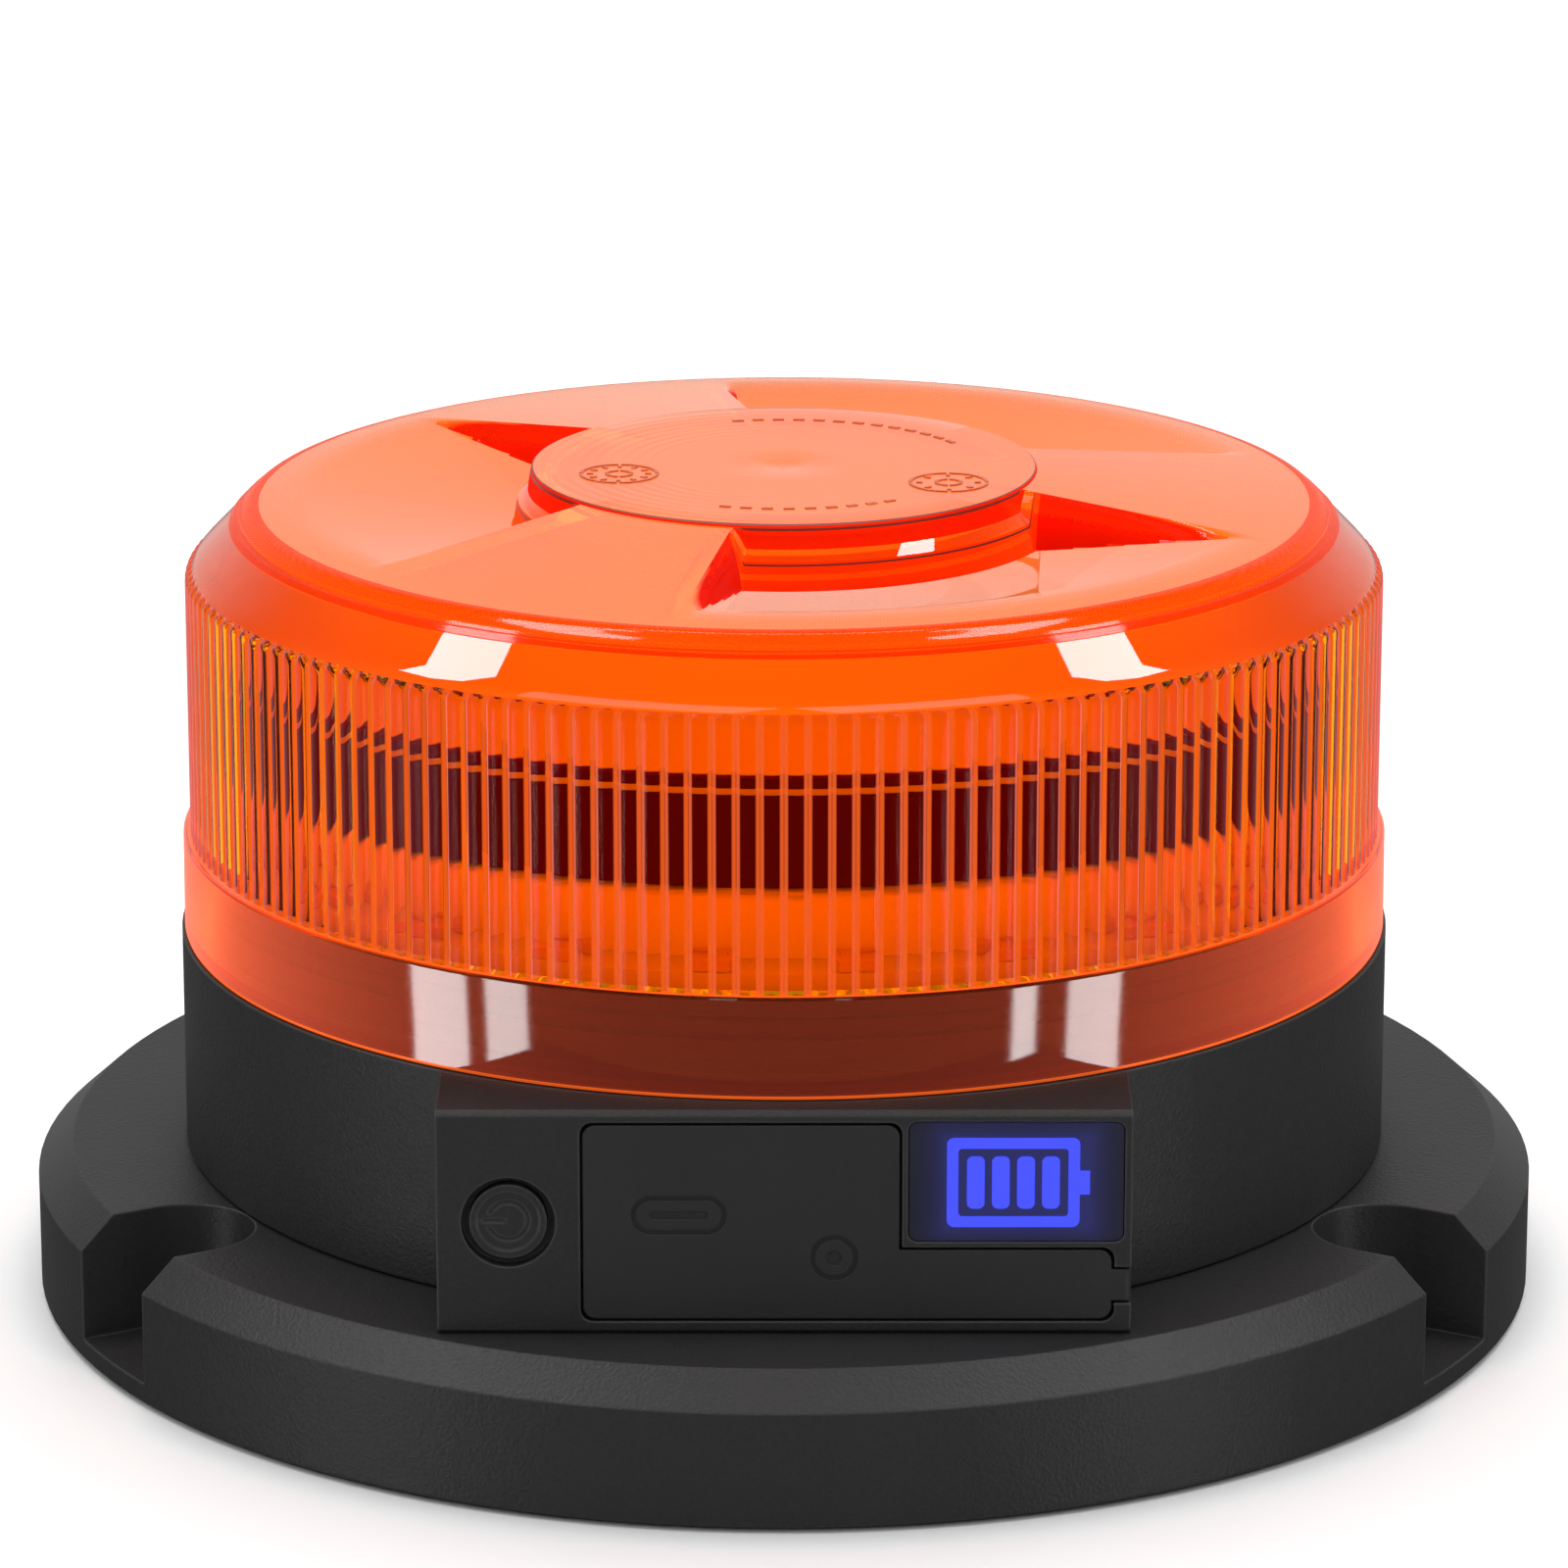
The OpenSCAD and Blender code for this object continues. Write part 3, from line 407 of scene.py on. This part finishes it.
MATERIALS = {
    "black_shell": black_shell(),
    "black_rubber": grainy("black_rubber", (0.020, 0.020, 0.020), 0.78, 0.5 * MM, 0.04 * MM, 0.2),
    "flap_rubber": grainy(
        "flap_rubber", (0.023, 0.023, 0.024), 0.62, 0.4 * MM, 0.03 * MM, 0.16, edge=0.2 * MM),
    "smoked_window": smoked_window(),
    "blue_icon": lit_icon(),
    "clear_guide": milky("clear_guide", (0.75, 0.8, 0.9), 0.2),
    "white_reflector": shaded_reflector(),
    "led_phosphor": milky("led_phosphor", (0.85, 0.62, 0.10), 0.4),
    "black_film": grainy("black_film", (0.10, 0.001, 0.001), 0.5, 0.8 * MM, 0.01 * MM, 0.1, level=0.0),
    "zinc_steel": grainy("zinc_steel", (0.62, 0.63, 0.65), 0.34, 0.6 * MM, 0.01 * MM, 0.1, 1.0, 0.1 * MM),
    "nickel": grainy("nickel", (0.68, 0.66, 0.60), 0.28, 0.9 * MM, 0.008 * MM, 0.08, 1.0),
    "magnet_nickel": grainy(
        "magnet_nickel", (0.50, 0.50, 0.52), 0.38, 1.2 * MM, 0.01 * MM, 0.12, 1.0, 0.2 * MM),
    "cell_wrap": grainy("cell_wrap", (0.05, 0.22, 0.50), 0.30, 2.5 * MM, 0.03 * MM, 0.1, coat=0.3),
    "tray_plastic": grainy("tray_plastic", (0.05, 0.055, 0.065), 0.55, 0.5 * MM, 0.03 * MM, 0.12),
    "circuit_board": grainy(
        "circuit_board", (0.015, 0.16, 0.05), 0.38, 0.9 * MM, 0.02 * MM, 0.25, drift=3 * MM, coat=0.2),
    "chip_epoxy": grainy("chip_epoxy", (0.012, 0.012, 0.013), 0.5, 0.3 * MM, 0.02 * MM, 0.2),
    "ferrite": grainy("ferrite", (0.07, 0.07, 0.065), 0.7, 0.4 * MM, 0.04 * MM, 0.25),
    "capacitor_sleeve": grainy(
        "capacitor_sleeve", (0.03, 0.05, 0.20), 0.28, 1.5 * MM, 0.02 * MM, 0.08, coat=0.3),
    "header_nylon": grainy("header_nylon", (0.78, 0.75, 0.65), 0.5, 0.5 * MM, 0.02 * MM, 0.06),
    "red_wire": grainy("red_wire", (0.50, 0.02, 0.012), 0.4, 0.8 * MM, 0.02 * MM, 0.1),
    "white_wire": grainy("white_wire", (0.72, 0.72, 0.71), 0.4, 0.8 * MM, 0.02 * MM, 0.06),
    "gold_contact": grainy("gold_contact", (0.80, 0.58, 0.22), 0.25, 0.7 * MM, 0.006 * MM, 0.08, 1.0),
    "amber_lens": amber("amber_lens", 0.01, 0.01, 0.10),
    "amber_inner": amber("amber_inner", 0.01, 0.0, 0.10, (1.0, 0.75, 0.010), gloss=DULL, kind="inner"),
    "amber_crown": amber("amber_crown", 0.01, 0.155, 0.0, shine=(0.70, 0.56, 0.11), kind="crown"),
    "amber_shoulder": amber("amber_shoulder", 0.01, 0.0, 0.05, core=0.30),
    "amber_frost": amber("amber_frost", 0.45, 0.36, 0.25, shine=(0.80, 0.15, 0.006), kind="knurl"),
    "amber_slope": amber("amber_slope", 0.40, 0.04, 0.1, shine=(1.0, 0.04, 0.0)),
    "amber_rim": amber("amber_rim", 0.05, 0.0, 0.3, (0.95, 0.16, 0.004), (0.8, 0.07, 0.003), gloss=0.4),
    "amber_band": amber("amber_band", 0.06, 0.0, 1.2, (0.5, 0.1, 0.01), (1.0, 0.14, 0.065), base=0.09),
    "amber_flutes": amber(
        "amber_flutes", 0.03, 0.0, 0.12, (1.0, 0.62, 0.004), (1.0, 0.03, 0.0), gloss=DULL, kind="flutes"),
    "amber_deep": amber("amber_deep", 0.03, 0.0, 0.25, DEEP_TINT, DEEP_SHINE, gloss=DULL),
    "amber_foot": amber("amber_foot", 0.03, 0.0, 0.35, (1.0, 0.17, 0.01), gloss=DULL),
    "amber_line": solid_amber("amber_line", (0.16, 0.015, 0.004), 0.3, 0.3),
    "amber_edge": solid_amber("amber_edge", (1.0, 0.13, 0.012), 0.35, 0.3),
    "amber_mark": solid_amber("amber_mark", (0.55, 0.09, 0.015), 0.10, 0.3),
}

# pieces whose finish differs from their slot's, because of the light that they catch: the cap's and the
# drum's glow is painted light
LOOKS = {
    "drum_cap": milky("lit_cap", (0.40, 0.36, 0.32), 0.4, (0.32, 0.06, 0.004, 1)),
    "led_board": milky("white_board", (0.85, 0.85, 0.82), 0.4),
    "baffle_drum": milky("dark_drum", (0.03, 0.001, 0.0), 0.6, (0.06, 0.0, 0.0, 1), level=0.0),
}

for part in frame["record"]["subparts"]:
    node = frame["nodes"][part["node"]]
    node.data.materials.clear()
    node.data.materials.append(LOOKS.get(part["node"], MATERIALS[part["material_slot"]]))


# ---- the lens, as a fine grid of rows (height) and spokes (angle) ----
SPOKES = FLUTES * 6
TURN = np.arange(SPOKES) * 2 * math.pi / SPOKES

LIP_Z = LENS_LO[2]
BAND_R = LIP_R - 0.05 * MM
VALLEY_R = LIP_R - 1.1 * MM
RIB_DEPTH = 0.45 * MM
RIB_FROM = LIP_Z + 8.55 * MM
RIB_TO = LIP_Z + 31.6 * MM
RIB_END = math.pi * VALLEY_R / FLUTES
# rows along the domed upper end of the flutes, as shares of its length
RIB_TIP = (0.0, 0.2, 0.35, 0.5, 0.62, 0.74, 0.84, 0.92, 1.0)
FILLET_R = 2.4 * MM
FILLET_Z = LIP_Z + 30.65 * MM
SHOULDER = 44
RIM_R = 45.0 * MM
RIM_Z = LENS_TOP - 2.7 * MM
RIM_FILLET = 1.3 * MM
# the bead and the groove on the shoulder's upper edge: radius, and height above the cone
BEAD = (
    (47.3, 0.0), (47.28, 0.12), (46.85, 0.12), (46.72, 0.02), (46.5, 0.02), (46.36, 0.096), (46.05, 0.036))
SHOULDER_MID_R = 49.5 * MM
DISC_R = 21.6 * MM
DISC_EDGE = 0.25 * MM
WALL = 2.2 * MM
POCKET_IN = DISC_R + 1.7 * MM
POCKET_DEPTH = 5.2 * MM
POCKET_RISE = 0.158
POCKET_HALF = math.radians(39.85)
POCKET_MIDS = [math.radians(28.4 - 90 + 120 * k) for k in range(3)]
POCKET_SIDE = 1.2 * MM
# each part of the lens takes its own copy of the amber, whose tint and glow are painted light and shade for
# that part
LENS_LOOKS = (
    "amber_lens", "amber_frost", "amber_edge", "amber_band", "amber_flutes", "amber_deep", "amber_foot",
    "amber_line", "amber_slope", "amber_rim", "amber_shoulder", "amber_crown", "amber_inner")
CLEAR, FROST, EDGE, BAND, FLUTED, DEEP, FOOT, LINE, SLOPE, RIM, SHOULDERED, CROWN, INNER = range(13)
# the pocket's wall under the disc, as shares of its width and depth, and the look in to the entry before
WALL_OUT = (0, 0.04, 0.17, 0.40, 0.66, 0.69, 0.73, 0.90, 1)
WALL_DOWN = (0, 0.04, 0.33, 0.41, 0.50, 0.54, 0.575, 0.93, 1)
# painted shade: a deeper red on the wall's upper part, and dark lines at its top edge and at its crease
WALL_LOOK = (CROWN, LINE, DEEP, CLEAR, CLEAR, FOOT, LINE, FOOT, FOOT)


def arc(cx, cz, r, start, end, count):
    """Points on an arc in the plane of radius and height; angles in degrees, 0 pointing outwards."""
    return [
        (cx + r * math.cos(math.radians(a)), cz + r * math.sin(math.radians(a)))
        for a in np.linspace(start, end, count)
    ]


def crown(r):
    """Height of the crown's outer face at radius r, before the pockets."""
    return RIM_Z + (RIM_R - r) / (RIM_R - DISC_R) * (LENS_TOP - DISC_EDGE - RIM_Z)


def pocket_share(r, wider=0.0):
    """0 outside the pockets, rising to 1 past their side walls, which wider moves outwards."""
    share = np.zeros(SPOKES)
    for mid in POCKET_MIDS:
        off = np.abs((TURN - mid + math.pi) % (2 * math.pi) - math.pi)
        share = np.maximum(share, np.clip((POCKET_HALF - off) * r / POCKET_SIDE + wider, 0, 1))
    return share ** 1.6


def crown_row(r, thick=0.0):
    """Heights along one row of the crown at radius r; thick moves it down to the inner face."""
    top = crown(max(r, DISC_R)) - thick
    foot = POCKET_IN - thick
    floor = LENS_TOP - POCKET_DEPTH + (r - POCKET_IN) * POCKET_RISE - thick
    down = np.interp((r - foot) / (POCKET_IN - DISC_R) + 1, WALL_OUT, WALL_DOWN)
    share = pocket_share(r, 1.6 if thick else 0.0)
    return top - max(top - floor, 0) * share * down


def rib_height(z):
    """How far the flutes stand out along one row at height z: round ribs with domed upper ends."""
    across = 2 * ((TURN * FLUTES / (2 * math.pi)) % 1) - 1
    along = max(0, (z - (RIB_TO - RIB_END)) / RIB_END)
    return RIB_DEPTH * np.sqrt(1 - np.clip(across ** 2 + along ** 2, 0, 1))


def wall_radius(z):
    """Radius of the wall between the flutes, rounded over at its top."""
    up = max(0.0, z - FILLET_Z)
    return VALLEY_R - FILLET_R + math.sqrt(FILLET_R ** 2 - up ** 2)


def lens_rows():
    """Rows of (radius, height, look) from the lip up the outside, then down the inside, and how many are
    outside. A row's look is that of the faces between it and the row after it."""
    rows = []

    def plain(points, look=CLEAR):
        rows.extend((np.full(SPOKES, r), np.full(SPOKES, z), look) for r, z in points)

    # the lip's edges and the band's top edge are opaque amber with a painted glow, for their bright lines
    plain([(LIP_R - 0.25 * MM, LIP_Z), (LIP_R - 0.07 * MM, LIP_Z + 0.07 * MM)], EDGE)
    plain([(LIP_R, LIP_Z + 0.25 * MM)], EDGE)
    plain([(LIP_R, LIP_Z + 0.35 * MM), (LIP_R - 0.02 * MM, LIP_Z + 3 * MM)], BAND)
    plain([(BAND_R, RIB_FROM - 0.35 * MM)], BAND)
    plain(arc(BAND_R - 0.3 * MM, RIB_FROM - 0.3 * MM, 0.3 * MM, 15, 75, 3))
    plain([(BAND_R - 0.3 * MM, RIB_FROM)], EDGE)
    heights = [RIB_FROM + 0.02 * MM, RIB_FROM + 8 * MM, FILLET_Z - 0.1 * MM]
    heights += [RIB_TO - RIB_END * (1 - share) for share in RIB_TIP]
    for z in sorted(heights):
        rows.append((wall_radius(z) + rib_height(z), np.full(SPOKES, z), FLUTED))
    top_angle = math.degrees(math.asin((RIB_TO - FILLET_Z) / FILLET_R))
    plain(arc(VALLEY_R - FILLET_R, FILLET_Z, FILLET_R, top_angle + 1, SHOULDER, 3), SHOULDERED)
    last_r, last_z = rows[-1][0][0], rows[-1][1][0]
    rise = 1 / math.tan(math.radians(SHOULDER))
    out_r, out_z = math.cos(math.radians(SHOULDER)), math.sin(math.radians(SHOULDER))

    def cone(r, up=0.0):
        return (r + up * out_r, last_z + (last_r - r) * rise + up * out_z)

    plain([cone(SHOULDER_MID_R)], SHOULDERED)
    plain([cone(r * MM, up * MM) for r, up in BEAD], RIM)
    plain(arc(RIM_R, RIM_Z - RIM_FILLET, RIM_FILLET, SHOULDER + 4, 84, 6), RIM)
    for r in np.linspace(RIM_R - 0.2 * MM, POCKET_IN + 0.4 * MM, 15):
        rows.append((np.full(SPOKES, r), crown_row(r), CROWN))
    for out, look in zip(WALL_OUT[::-1], WALL_LOOK[::-1]):
        r = DISC_R + out * (POCKET_IN - DISC_R)
        rows.append((np.full(SPOKES, r), crown_row(r), np.where(pocket_share(r) > 0.02, look, CROWN)))
    # the disc: a dark line of painted shade at its edge, wider at the front and back, and the mould's gate
    # mark in the middle
    plain([(DISC_R - 0.08 * MM, LENS_TOP - 0.06 * MM)], LINE)
    inner_edge = DISC_R - 0.2 * MM - 0.35 * MM * np.sin(TURN) ** 4
    rows.append((inner_edge, np.full(SPOKES, LENS_TOP), CROWN))
    plain([(r * MM, LENS_TOP) for r in (18, 12, 6, 2.2)], CROWN)
    plain([(1.5 * MM, LENS_TOP - 0.12 * MM), (0.5 * MM, LENS_TOP - 0.2 * MM)], CROWN)
    outer = len(rows)
    plain([(r * MM, LENS_TOP - WALL) for r in (0.5, 8, 16)], FROST)
    inner = list(np.linspace(DISC_R - 2 * MM, POCKET_IN - 1.8 * MM, 6)) + list(np.linspace(23 * MM, RIM_R, 9))
    for r in inner:
        rows.append((np.full(SPOKES, r), crown_row(r, WALL), FROST))
    in_r = BAND_R - WALL - 0.6 * MM
    plain([(RIM_R + 0.3 * MM, RIM_Z - WALL - 0.1 * MM), (in_r - 0.25 * MM, FILLET_Z + 0.45 * MM)], SLOPE)
    plain([(in_r, FILLET_Z)], INNER)
    plain([(in_r, RIB_FROM), (LIP_R - WALL, RIB_FROM - 0.4 * MM), (LIP_R - WALL, LIP_Z)])
    return rows, outer


def new_object(name, verts, faces):
    mesh = bpy.data.meshes.new(name)
    mesh.from_pydata(verts, [], faces)
    mesh.update()
    obj = bpy.data.objects.new(name, mesh)
    bpy.context.scene.collection.objects.link(obj)
    return obj


def grid_mesh(name, rows, pole):
    """A closed mesh of quads from rows of equal length, with a small disc at each side of the pole."""
    verts = np.concatenate([np.stack([r * np.cos(TURN), r * np.sin(TURN), z], axis=1) for r, z, _ in rows])
    spoke = np.arange(SPOKES)
    nxt = (spoke + 1) % SPOKES
    faces, looks = [], []
    for i in range(len(rows)):
        j = (i + 1) % len(rows)
        if j == pole:
            continue
        quad = np.stack([i * SPOKES + spoke, i * SPOKES + nxt, j * SPOKES + nxt, j * SPOKES + spoke], axis=1)
        faces.extend(quad.tolist())
        looks.extend(np.broadcast_to(rows[i][2], SPOKES).tolist())
    faces.append(((pole - 1) * SPOKES + spoke).tolist())
    faces.append((pole * SPOKES + spoke).tolist()[::-1])
    looks += [rows[pole - 1][2], rows[pole][2]]
    obj = new_object(name, verts.tolist(), faces)
    obj.data.polygons.foreach_set("material_index", looks)
    return obj


def smooth(obj, angle):
    obj.data.polygons.foreach_set("use_smooth", [True] * len(obj.data.polygons))
    obj.data.set_sharp_from_angle(angle=math.radians(angle))


def build_lens():
    rows, outer = lens_rows()
    lens = grid_mesh("amber_dome", rows, outer)
    for look in LENS_LOOKS:
        lens.data.materials.append(MATERIALS[look])
    smooth(lens, 18)
    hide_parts("lens_dome")
    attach(lens, "housing")


build_lens()


# ---- raised marks on the disc: plain shapes only ----
MARK_UP = 0.09 * MM
MARK_LOW = 0.05 * MM
# round marks: centre x and y in mm, and how many dashes; the radii of the rings in each, in mm
ROUND_MARKS = ((-14.0, -3.5, 12), (13.9, -6.6, 8))
OUTER_RING, DASHES, INNER_RING = (3.1, 3.4), (2.2, 2.75), (0.9, 1.2)
# curved rows of plain dashes: first and last bearing in degrees, how many, and radius in mm
DASH_ROWS = ((-108, -56, 9, 15.1), (30, 104, 13, 15.9))
DASH_FROM, DASH_TO = 0.5 * MM, 0.95 * MM


def flat_shapes(name, outlines, z0, z1, look):
    """Upright prisms from closed outlines of (x, y), all in one piece."""
    verts, faces = [], []
    for outline in outlines:
        base, count = len(verts), len(outline)
        verts += [(x, y, z0) for x, y in outline] + [(x, y, z1) for x, y in outline]
        faces.append([base + k for k in range(count)][::-1])
        faces.append([base + count + k for k in range(count)])
        for k in range(count):
            m = (k + 1) % count
            faces.append([base + k, base + m, base + count + m, base + count + k])
    obj = new_object(name, verts, faces)
    obj.data.materials.append(look)
    return obj


def sector(cx, cy, r_in, r_out, start, end, steps):
    """Outline of a bent bar round (cx, cy), between two angles in degrees."""
    turn = [math.radians(start + (end - start) * k / steps) for k in range(steps + 1)]
    outside = [(cx + r_out * math.cos(t), cy + r_out * math.sin(t)) for t in turn]
    return outside + [(cx + r_in * math.cos(t), cy + r_in * math.sin(t)) for t in turn[::-1]]


def round_mark(cx, cy, dashes):
    """Outlines of a ring of dashes between two rings of four arcs."""
    arcs = [(OUTER_RING, 90 * k + 2, 90 * k + 88, 10) for k in range(4)]
    arcs += [(DASHES, 360 * k / dashes - 4, 360 * k / dashes + 4, 2) for k in range(dashes)]
    arcs += [(INNER_RING, 90 * k + 4, 90 * k + 86, 8) for k in range(4)]
    return [sector(cx * MM, cy * MM, r_in * MM, r_out * MM, *rest) for (r_in, r_out), *rest in arcs]


def dash_row(first, last, count, radius):
    """Outlines of dashes spaced evenly round the disc's centre."""
    mids = [first + (last - first) * k / (count - 1) for k in range(count)]
    r = radius * MM
    return [sector(0, 0, r + DASH_FROM, r + DASH_TO, mid - 1.7, mid + 1.7, 4) for mid in mids]


def crown_marks():
    outlines = [o for mark in ROUND_MARKS for o in round_mark(*mark)]
    outlines += [o for row in DASH_ROWS for o in dash_row(*row)]
    heights = LENS_TOP - MARK_LOW, LENS_TOP + MARK_UP
    marks = flat_shapes("crown_marks", outlines, *heights, MATERIALS["amber_mark"])
    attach(marks, "housing")


crown_marks()


# ---- the room ----
FLOOR_SIZE = 14 * BASE_WIDTH


def pale_floor():
    """Pale floor, hidden from mirrored rays because the upright strips reach below it."""
    bpy.ops.mesh.primitive_plane_add(size=FLOOR_SIZE, location=(0, 0, 0))
    floor = bpy.context.object
    floor.name = "floor"
    n = material("pale_floor")
    floor.data.materials.append(n.finish(n.principled(
        base_color=n.shade((0.93, 0.93, 0.93), 0.01, n.noise(0.05)), roughness=0.8, specular_ior_level=0.1)))
    floor.visible_glossy = False


def softbox(name, place, aim, width, height, power, mirrored=True, lights=False):
    """A rectangular lamp that only shows in mirrors, unless it lights."""
    light = bpy.data.lights.new(name, "AREA")
    light.shape = "RECTANGLE"
    light.size, light.size_y = width, height
    light.energy = power
    lamp = bpy.data.objects.new(name, light)
    lamp.location = place
    lamp.rotation_mode = "QUATERNION"
    lamp.rotation_quaternion = (Vector(place) - Vector(aim)).to_track_quat("Z", "Y")
    lamp.visible_camera = False
    lamp.visible_transmission = False
    lamp.visible_glossy = mirrored
    lamp.visible_diffuse = lights
    bpy.context.scene.collection.objects.link(lamp)


# upright strips: bearings of the left and right edge in degrees from the front, and power
STRIPS = {
    "left_inner": (-56, -47.6, 4.2),
    "left_outer": (-72, -60, 6),
    "right_inner": (42, 46.6, 2.5),
    "right_outer": (53, 64, 5.4),
}
STRIP_FAR, STRIP_Z, STRIP_TALL = 1.2, -0.29, 0.62
# patches: bearing and height, then the patch's own width and height, all in degrees, and power
PATCHES = {
    "left_brow": (-34, 52, 36, 18, 1.4),
    "right_brow": (32, 52, 32, 18, 1.4),
    "rim_light": (180, 74, 22, 8, 1.2),
}
PATCH_FAR = 1.1
# two lamps above the sides, by how far they stand to the right
TOPS = {"left_top": -0.56, "right_top": 0.56}


def lights():
    """One lamp that lights the object and is never mirrored, and the rest, which are only seen in mirrors."""
    softbox("overhead", (0, 0.15, 0.9), (0, 0, 0), 0.9, 0.9, 5, mirrored=False, lights=True)
    for name, (left, right, power) in STRIPS.items():
        mid, half = math.radians((left + right) / 2), math.radians(abs(right - left) / 2)
        place = (STRIP_FAR * math.sin(mid), -STRIP_FAR * math.cos(mid), STRIP_Z)
        softbox(name, place, (0, 0, STRIP_Z), 2 * STRIP_FAR * math.tan(half), STRIP_TALL, power)
    for name, x in TOPS.items():
        softbox(name, (x, 0.0, 0.95), (0, 0, 0.06), 0.16, 0.6, 5)
    for name, (bearing, height, width, tall, power) in PATCHES.items():
        turn, up = math.radians(bearing), math.radians(height)
        place = (math.cos(up) * math.sin(turn), -math.cos(up) * math.cos(turn), math.sin(up))
        sizes = [2 * PATCH_FAR * math.tan(math.radians(size / 2)) for size in (width, tall)]
        softbox(name, tuple(PATCH_FAR * c for c in place), (0, 0, 0.05), *sizes, power)


def surroundings():
    """Soft light from all sides, a little more from the back. In mirrors it is bright low at the back and dim
    elsewhere, through the lens it is dim, and the camera itself sees it plain white."""
    bpy.context.scene.world = bpy.data.worlds.new("studio")
    n = Tree(bpy.context.scene.world, "OutputWorld")
    y, z = n.xyz(n.add("TexCoord").outputs["Generated"])[1:3]
    behind = n.ramp(y, 0.5, 0.92, 0.12, 1.0)
    low = n.times(n.ramp(z, 0.5, 0.8, 1.0, 0.0), n.ramp(z, -0.22, -0.08, 0.25, 1.0))
    mirrored = n.plus(n.times(n.times(behind, low), 0.8), 0.03)
    strength = n.plus(n.times(n.ramp(y, -0.15, 0.4), 0.3), 1.0)
    path = n.add("LightPath").outputs
    for ray, level in (("Is Glossy Ray", mirrored), ("Is Transmission Ray", 0.28), ("Is Camera Ray", 1.25)):
        strength = n.add("Mix", {0: path[ray], 2: strength, 3: level}, data_type="FLOAT").outputs[0]
    n.finish(n.add("Background", {"Strength": strength}))


def camera():
    """The view from the front, a little above, through a long lens."""
    back, up, down = 4.540 * BASE_WIDTH, 1.645 * BASE_WIDTH, math.radians(15.61)
    data = bpy.data.cameras.new("camera")
    data.lens, data.sensor_width, data.shift_y = 163.2, 36, -0.0417
    cam = bpy.data.objects.new("camera", data)
    cam.location = (0, -back, up)
    cam.rotation_euler = (math.pi / 2 - down, 0, 0)
    bpy.context.scene.collection.objects.link(cam)
    bpy.context.scene.camera = cam


pale_floor()
surroundings()
lights()
camera()
bpy.context.scene.view_settings.view_transform = "Standard"
